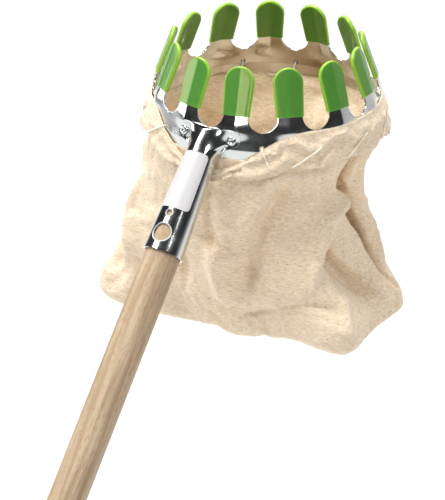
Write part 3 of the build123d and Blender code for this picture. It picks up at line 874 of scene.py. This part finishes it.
# A fold's line in degrees of azimuth and depth, its height (a valley is negative) and its half width. The
# valley at azimuth 0 leaves room for the socket when the bag swings towards it.
BAG_FOLDS = [
    ([(33, 24), (31, 34), (26, 52), (20, 64), (12, 80)], 4.6, 7),
    ([(42, 30), (37, 46), (30, 62), (25, 84), (23, 105), (19, 130)], -6.8, 7),
    ([(82, 46), (76, 60), (63, 68), (57, 92), (53, 101), (47, 126)], 8.1, 7),
    ([(57, 84), (63, 96), (70, 109), (86, 129), (97, 143)], -10.8, 6),
    ([(80, 26), (78, 39), (76, 50), (87, 66), (97, 90), (104, 115), (107, 140)], -8.0, 3.0),
    ([(91, 30), (91, 56), (101, 78), (109, 100), (114, 132)], 3.5, 7),
    ([(4, 148), (30, 135), (39, 131), (52, 128), (72, 132)], -3.2, 3.5),
    ([(66, 118), (62, 132), (59, 148)], 3.4, 5),
    ([(-50, 50), (-53, 85), (-47, 103), (-43, 124)], 6.1, 6),
    ([(-64, 92), (-58, 118), (-55, 140)], -6.8, 5),
    ([(-40, 112), (-49, 126), (-54, 146)], -4.1, 4),
    ([(0, 30), (0, 52), (1, 74), (2, 98)], -5.0, 8),
    ([(-16, 46), (-24, 90), (-18, 134)], -6.8, 8),
    ([(8, 84), (4, 104), (8, 138)], 5.4, 7),
    ([(-80, 34), (-76, 80), (-84, 130)], 5.4, 9),
    ([(150, 40), (156, 84), (146, 134)], 6.8, 9),
    ([(-140, 36), (-146, 80), (-136, 134)], -6.8, 9),
    ([(178, 30), (172, 76), (180, 120)], -5.4, 8),
    ([(-110, 40), (-104, 90), (-112, 140)], 5.4, 7),
]
FOLD_ROUND = 0.8
FOLD_PRESS = 0.5
FOLD_FADE = 15
# Faint upright creases, added after the drape.
CREASE_HEIGHT = 1.0
CREASE_WIDTH = 11.0
CREASE_LENGTH = 34.0
CREASE_START = 26
CREASE_FADE_IN = 12
# The tucked seam on the right: its line, how deep the tuck goes and its half width at the top and below.
SEAM_LINE = [(80, 26), (77, 38), (77, 50), (87, 66), (97, 90), (104, 115), (108, 144)]
SEAM_DEPTH = 7.0
SEAM_TOP_WIDTH = 3.0
SEAM_WIDTH = 1.4


def smooth_table(rows, depth):
    """Values at a depth on smooth curves through a table's rows, whose first column is the depth."""
    place = max(k for k, row in enumerate(rows[:-1]) if depth >= row[0] or k == 0)
    near = [rows[min(max(place + k, 0), len(rows) - 1)] for k in (-1, 0, 1, 2)]
    t = (depth - near[1][0]) / (near[2][0] - near[1][0])
    values = []
    for a, b, c, d in list(zip(*near))[1:]:
        values.append(b + t / 2 * (c - a + t * (2 * a - 5 * b + 4 * c - d + t * (3 * (b - c) + d - a))))
    return values


def turned(azimuth, other):
    """The angle in degrees from one azimuth to another, the short way round."""
    return (azimuth - other + 180) % 360 - 180


def off_line(line, azimuth, depth):
    """Distance on the cloth from a line of azimuths and depths, and how far along the line that is."""
    degrees_to_mm = 1.45
    best = (1e9, 0.0)
    for k in range(len(line) - 1):
        run_across = turned(line[k + 1][0], line[k][0]) * degrees_to_mm
        run_down = line[k + 1][1] - line[k][1]
        across = turned(azimuth, line[k][0]) * degrees_to_mm
        down = depth - line[k][1]
        share = (across * run_across + down * run_down) / (run_across**2 + run_down**2)
        share = min(max(share, 0.0), 1.0)
        apart = math.hypot(across - share * run_across, down - share * run_down)
        best = min(best, (apart, (k + share) / (len(line) - 1)))
    return best


def fold_height(azimuth, depth):
    """Height of all the folds at a place on the bag: each is a crease that slopes off to both sides."""
    total = 0.0
    for line, height, width in BAG_FOLDS:
        depths = [spot[1] for spot in line]
        if not min(depths) - 5 * width < depth < max(depths) + 5 * width:
            continue
        apart, done = off_line(line, azimuth, depth)
        fade = ease(done * 4) * ease((1 - done) * 4)
        total += height * fade * math.exp((FOLD_ROUND - math.hypot(apart, FOLD_ROUND)) / width)
    return total


def bag_point(azimuth, depth, turned_in, inward):
    """A point of the slack bag; below its edge the cloth turns in and runs to the middle of the floor."""
    left, right, front, back, power = smooth_table(BAG_SECTIONS, depth)
    x = math.sin(azimuth)
    y = -math.cos(azimuth)
    half_x = right if x > 0 else left
    half_y = back if y > 0 else front
    reach = (abs(x / half_x) ** power + abs(y / half_y) ** power) ** (-1 / power)
    degrees = math.degrees(azimuth)
    for corner, pull, start in BAG_CORNERS:
        near = math.exp(-((turned(degrees, corner) / CORNER_WIDTH) ** 2))
        reach += pull * ease((depth - start) / (BAG_EDGE - start)) * near
    drop = sum(low * math.exp(-((turned(degrees, middle) / half) ** 2)) for middle, low, half in BAG_DROPS)
    fine = noise.noise(Vector((PLEAT_WAVES * x, PLEAT_WAVES * y, depth * PLEAT_WAVES_DOWN)))
    pleat = fine * PLEAT_HEIGHT * math.exp(-depth / PLEAT_FADE)
    broad = noise.noise(Vector((CRUMPLE_WAVES * x, CRUMPLE_WAVES * y, depth * CRUMPLE_WAVES_DOWN)))
    crumple = broad * CRUMPLE_HEIGHT * ease((depth - CRUMPLE_START) / CRUMPLE_FADE_IN)
    relief = fold_height(degrees, depth) + pleat * ease((depth - PLEAT_START) / PLEAT_FADE_IN) + crumple
    reach += relief * (1 - FLOOR_FLATTENS * turned_in)
    reach -= BAG_TURN_IN * (1 - math.sqrt(max(1 - turned_in**2, 0.0)))
    reach *= 1 - inward
    level = depth + drop * ease((depth - DROP_START) / DROP_FADE_IN) * (1 - inward)
    level = level + BAG_SAG * turned_in + BAG_FLOOR_SAG * inward * (2 - inward)
    return Vector((x * reach, y * reach, -level))


def bag_weight(point):
    """How firmly the bag is held: hard inside the hem, softly below it."""
    return max(CLOTH_GIVE, 1 - max(-point.z - BAG_HELD, 0) / BAG_HELD_FADE)


def press_folds(mesh):
    """Creases the folds again after the drape, tucks in the right-hand seam and adds faint creases."""
    moves = []
    for vert in mesh.vertices:
        spot = vert.co / MILLIMETRE
        if spot.z > -BAG_EDGE:
            degrees = math.degrees(math.atan2(spot.x, -spot.y))
            push = FOLD_PRESS * fold_height(degrees, -spot.z) * ease((BAG_EDGE + spot.z) / FOLD_FADE)
            apart, done = off_line(SEAM_LINE, degrees, -spot.z)
            width = between(SEAM_TOP_WIDTH, SEAM_WIDTH, ease(done * 2.4))
            tuck = SEAM_DEPTH * math.exp(-((apart / width) ** 2))
            push -= tuck * ease(done * 12) * ease((1 - done) * 5)
            crease = Vector((spot.x / CREASE_WIDTH, spot.y / CREASE_WIDTH, spot.z / CREASE_LENGTH))
            push += CREASE_HEIGHT * noise.noise(crease) * ease((-spot.z - CREASE_START) / CREASE_FADE_IN)
            moves.append((vert, vert.normal * push))
    for vert, push in moves:
        vert.co += push * MILLIMETRE


def make_bag(material):
    """A flat sheet bent to the bag's shape, draped and given the cloth's thickness."""
    wall_rows = 52
    turn_rows = 5
    floor_rows = 6
    path = [(k / wall_rows, 0.0, 0.0) for k in range(wall_rows + 1)]
    path += [(1.0, math.sin(math.pi / 2 * k / turn_rows), 0.0) for k in range(1, turn_rows + 1)]
    path += [(1.0, 1.0, k / floor_rows) for k in range(1, floor_rows + 1)]
    bm = bmesh.new()
    bmesh.ops.create_grid(bm, x_segments=190, y_segments=len(path) - 1, size=1)
    for vert in bm.verts:
        down, turned_in, inward = path[round((1 - vert.co.y) / 2 * (len(path) - 1))]
        depth = between(BAG_TOP, BAG_EDGE, down)
        vert.co = bag_point(vert.co.x * math.pi, depth, turned_in, inward)
    bmesh.ops.remove_doubles(bm, verts=bm.verts, dist=0.01)
    bag = new_piece("bag", bm, material, None, "bag_neck", "bag_body")
    drape(bag, BAG_STIFFNESS, bag_weight)
    refine(bag)
    press_folds(bag.data)
    wall = bag.modifiers.new("cloth", "SOLIDIFY")
    wall.thickness = BAG_CLOTH * MILLIMETRE
    wall.offset = -1
    settle(bag)
    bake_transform(bag)


make_bag(cotton)

# Lacing. One white cotton cord, twisted from three strands, that whips the hem to the band: out through a
# hole, down over the hem and back in under the band, all the way round.
LACE_RADIUS = 0.7
LACE_STRAND = 0.4
LACE_LAY = 3.6
# Radii at which the cord lies: behind a hole, on a hem that a ray misses, and under and behind the band.
LACE_AT_HOLE = 78.24
LACE_ON_HEM = 84.5
LACE_UNDER_BAND = 79.2
LACE_BEHIND_BAND = 79.3
LACE_RISE = 0.9
RAY_START = 120.0
# Shares of a stitch's run down the hem, and of a pitch where the cord leaves a stitch and where it comes up.
STITCH_SHARES = (0.0, 0.08, 0.3, 0.5, 0.7, 0.92, 1.0)
LACE_LEAVES = 0.1
LACE_COMES_UP = 0.93
LAST_STITCH_TURN = math.radians(3.5)


def cotton_cord():
    """Soft spun cotton: off-white, matt and a little hairy."""
    material, shader, place = new_material("cotton_cord", Roughness=0.9, IOR=1.46, Sheen_Weight=0.3)
    fuzz = clouds(material, place, 0.5, 3.0)
    shade = mix(material, fuzz, "e6dccb", "fbf6ea")
    return dress(material, shader, shade, fuzz, 0.4, 0.0002)


def lace_route(hem):
    """The lacing's corners, from the last hole to the first one beside the socket; it lies on the hem."""
    graph = bpy.context.evaluated_depsgraph_get()
    cloth = BVHTree.FromObject(hem, graph)
    route = []
    for k in range(TINES - 1, 0, -1):
        high = k * PITCH
        low = high - PITCH / 2
        if k == 1:
            low = high + LAST_STITCH_TURN
        route.append(ring_point(high, LACE_AT_HOLE, LACE_HOLE_DEPTH))
        for share in STITCH_SHARES:
            azimuth = between(high, low, share)
            depth = between(LACE_HOLE_DEPTH, LACE_DEPTH, share)
            start = ring_point(azimuth, RAY_START, depth) * MILLIMETRE
            spot = cloth.ray_cast(start, -Vector((start.x, start.y, 0)))[0]
            lies_at = LACE_ON_HEM
            if spot:
                lies_at = max(math.hypot(spot.x, spot.y) / MILLIMETRE, skin_radius(depth) + HEM_THICK)
            route.append(ring_point(azimuth, lies_at + LACE_RADIUS, depth))
        route.append(ring_point(low, LACE_UNDER_BAND, LACE_DEPTH))
        if k > 1:
            for azimuth in (low - PITCH * LACE_LEAVES, high - PITCH * LACE_COMES_UP):
                route.append(ring_point(azimuth, LACE_BEHIND_BAND, LACE_DEPTH - LACE_RISE))
    return route


def curve_mesh(name, paths, kind, radius):
    """The mesh in metres of a curve through lists of points in millimetres."""
    curve = bpy.data.curves.new(name, "CURVE")
    curve.dimensions = "3D"
    curve.bevel_depth = radius * MILLIMETRE
    curve.bevel_resolution = 1
    for points in paths:
        line = curve.splines.new(kind)
        line.points.add(len(points) - 1)
        for spot, point in zip(line.points, points):
            spot.co = (*(point * MILLIMETRE), 1)
        if kind == "NURBS":
            line.order_u = 3
            line.use_endpoint_u = True
            line.resolution_u = 12
    piece = new_object(name, curve)
    mesh = baked(piece)
    bpy.data.objects.remove(piece)
    return mesh


def make_lacing(hem):
    """Three strands wound round the line that the route's spline gives."""
    line = curve_mesh("lace line", [lace_route(hem)], "NURBS", 0)
    points = [vert.co / MILLIMETRE for vert in line.vertices]
    strands = [[], [], []]
    walked = 0.0
    side = Vector((0, 0, 1))
    for k, point in enumerate(points):
        ahead = points[min(k + 1, len(points) - 1)] - points[max(k - 1, 0)]
        ahead.normalize()
        side = (side - ahead * side.dot(ahead)).normalized()
        other = ahead.cross(side)
        if k:
            walked += (point - points[k - 1]).length
        for number, strand in enumerate(strands):
            turn = math.tau * (walked / LACE_LAY + number / 3)
            aside = side * math.cos(turn) + other * math.sin(turn)
            strand.append(point + aside * (LACE_RADIUS - LACE_STRAND))
    mesh = curve_mesh("lace strands", strands, "POLY", LACE_STRAND)
    mesh.shade_smooth()
    mesh.materials.append(cotton_cord())
    lacing = new_object("lacing", mesh)
    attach(lacing, "head")
    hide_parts("lacing_cord")


make_lacing(hem)

# Studio. A pale floor under the pole's foot, soft boxes in front, at both sides, overhead and behind, a room
# that is dark behind the camera, so that the zinc has something to mirror, and the photograph's camera.
FLOOR_LEVEL = -0.478
FLOOR_REACH = 3.5
ROOM_DARK = 0.035
ROOM_WHITE = 0.85
CAMERA_PLACE = Vector((0.71193, -1.2791, 0.59908))
CAMERA_RIGHT = Vector((0.86144, 0.50776, 0.01008))
CAMERA_UP = Vector((-0.2328, 0.37717, 0.8964))
CAMERA_LENS = 164.87
CAMERA_SENSOR = 36
STUDIO_MIDDLE = Vector((0, 0, -0.05))
# Each box: azimuth and elevation in degrees, distance, width and height in metres, and power in watts.
SOFT_BOXES = {
    "key": (16, 21, 2.4, 0.55, 0.5, 7),
    "left": (-70, 4, 2.2, 1.0, 0.5, 7),
    "main": (-40, 46, 2.2, 1.2, 0.5, 18),
    "fill": (76, 47, 2.4, 0.7, 0.4, 17),
    "overhead": (-50, 74, 2.0, 0.8, 0.8, 36),
    "right": (128, 20, 2.4, 0.4, 0.45, 3),
    "back": (-150, 54, 2.4, 1.4, 1.4, 46),
}


def make_floor():
    """A wide pale floor with a little light of its own."""
    bm = bmesh.new()
    bmesh.ops.create_grid(bm, x_segments=1, y_segments=1, size=FLOOR_REACH)
    floor = new_object("floor", mesh_from("floor", bm))
    floor.location.z = FLOOR_LEVEL
    material = new_material("pale_floor", Roughness=0.9, Base_Color=colour("b8b8b8"),
                            Emission_Color=colour("ffffff"), Emission_Strength=0.45)[0]
    floor.data.materials.append(material)


def soft_box(name, azimuth, elevation, distance, width, height, power):
    """An area light that faces the object and that the camera doesn't see."""
    lamp = bpy.data.lights.new(name, "AREA")
    lamp.shape = "RECTANGLE"
    lamp.size = width
    lamp.size_y = height
    lamp.energy = power
    light = new_object(name, lamp)
    turn = math.radians(azimuth)
    rise = math.radians(elevation)
    way = Vector((math.sin(turn) * math.cos(rise), -math.cos(turn) * math.cos(rise), math.sin(rise)))
    light.location = STUDIO_MIDDLE + way * distance
    light.rotation_euler = way.to_track_quat("Z", "Y").to_euler()
    light.visible_camera = False


def make_world():
    """A room that is white behind the object and dark behind the camera."""
    world = bpy.data.worlds.new("studio")
    world.use_nodes = True
    tree = world.node_tree
    back = tree.nodes["Background"]
    place = add(world, "TexCoord")
    apart = add(world, "SeparateXYZ", {"Vector": place.outputs["Generated"]})
    shade = remap(world, apart.outputs["Y"], 0.25, 0.85, ROOM_DARK, ROOM_WHITE)
    tree.links.new(shade, back.inputs["Color"])
    bpy.context.scene.world = world


make_floor()
for name, values in SOFT_BOXES.items():
    soft_box(name, *values)
make_world()
camera = new_object("camera", bpy.data.cameras.new("camera"))
turn = Matrix((CAMERA_RIGHT, CAMERA_UP, CAMERA_RIGHT.cross(CAMERA_UP))).transposed().to_4x4()
camera.matrix_world = Matrix.Translation(CAMERA_PLACE) @ turn
camera.data.lens = CAMERA_LENS
camera.data.sensor_width = CAMERA_SENSOR
bpy.context.scene.camera = camera
bpy.context.scene.view_settings.view_transform = "Standard"
